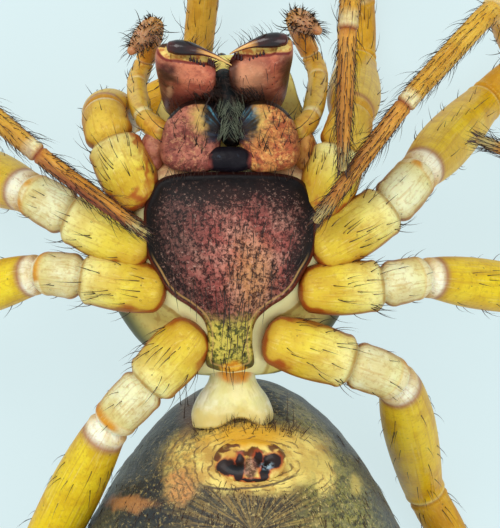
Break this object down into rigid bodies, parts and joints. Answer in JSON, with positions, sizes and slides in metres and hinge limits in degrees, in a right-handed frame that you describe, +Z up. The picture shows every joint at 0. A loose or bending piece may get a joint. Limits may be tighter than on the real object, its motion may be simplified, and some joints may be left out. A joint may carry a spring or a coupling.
{
  "type": "money spider",
  "caption": "Small dwarf spider lying on its back with bent legs: shield-shaped breast plate, fanged jaws, egg-shaped abdomen with epigyne and spinnerets.",
  "frame": {"origin": "on the floor, at the middle of the whole animal's length and width", "axes": "+Z up through the belly, because the spider lies on its back; +Y towards the head; +X towards the spider's own left side"},
  "size_m": [0.0032, 0.0036, 0.0015],
  "materials": {
    "carapace_cuticle": "satin",
    "sternum_cuticle": "satin",
    "mouth_cuticle": "satin",
    "dark_cuticle": "gloss",
    "leg_cuticle": "satin",
    "palp_cuticle": "satin",
    "eye_lens": "gloss",
    "joint_membrane": "satin",
    "abdomen_skin": "satin",
    "epigyne_cuticle": "gloss"
  },
  "bodies": {
    "root": {"carapace": "carapace_cuticle", "sternum": "sternum_cuticle", "labium": "dark_cuticle", "maxilla_left": "mouth_cuticle", "maxilla_right": "mouth_cuticle", "chelicera_left": "mouth_cuticle", "chelicera_right": "mouth_cuticle", "fang_left": "dark_cuticle", "fang_right": "dark_cuticle", "eye_front_middle_left": "eye_lens", "eye_front_middle_right": "eye_lens", "eye_front_side_left": "eye_lens", "eye_front_side_right": "eye_lens", "eye_rear_middle_left": "eye_lens", "eye_rear_middle_right": "eye_lens", "eye_rear_side_left": "eye_lens", "eye_rear_side_right": "eye_lens", "pedicel": "joint_membrane", "abdomen": "abdomen_skin", "epigyne": "epigyne_cuticle", "spinneret_front_left": "abdomen_skin", "spinneret_front_right": "abdomen_skin", "spinneret_rear_left": "abdomen_skin", "spinneret_rear_right": "abdomen_skin", "palp_left_base": "palp_cuticle", "palp_left_tip": "palp_cuticle", "palp_right_base": "palp_cuticle", "palp_right_tip": "palp_cuticle", "leg_left_1_coxa": "leg_cuticle", "leg_left_1_femur": "leg_cuticle", "leg_left_1_tibia": "leg_cuticle", "leg_left_1_foot": "leg_cuticle", "leg_left_2_coxa": "leg_cuticle", "leg_left_2_femur": "leg_cuticle", "leg_left_2_tibia": "leg_cuticle", "leg_left_2_foot": "leg_cuticle", "leg_left_3_coxa": "leg_cuticle", "leg_left_3_femur": "leg_cuticle", "leg_left_3_tibia": "leg_cuticle", "leg_left_3_foot": "leg_cuticle", "leg_left_4_coxa": "leg_cuticle", "leg_left_4_femur": "leg_cuticle", "leg_left_4_tibia": "leg_cuticle", "leg_left_4_foot": "leg_cuticle", "leg_right_1_coxa": "leg_cuticle", "leg_right_1_femur": "leg_cuticle", "leg_right_1_tibia": "leg_cuticle", "leg_right_1_foot": "leg_cuticle", "leg_right_2_coxa": "leg_cuticle", "leg_right_2_femur": "leg_cuticle", "leg_right_2_tibia": "leg_cuticle", "leg_right_2_foot": "leg_cuticle", "leg_right_3_coxa": "leg_cuticle", "leg_right_3_femur": "leg_cuticle", "leg_right_3_tibia": "leg_cuticle", "leg_right_3_foot": "leg_cuticle", "leg_right_4_coxa": "leg_cuticle", "leg_right_4_femur": "leg_cuticle", "leg_right_4_tibia": "leg_cuticle", "leg_right_4_foot": "leg_cuticle"}
  },
  "joints": []
}
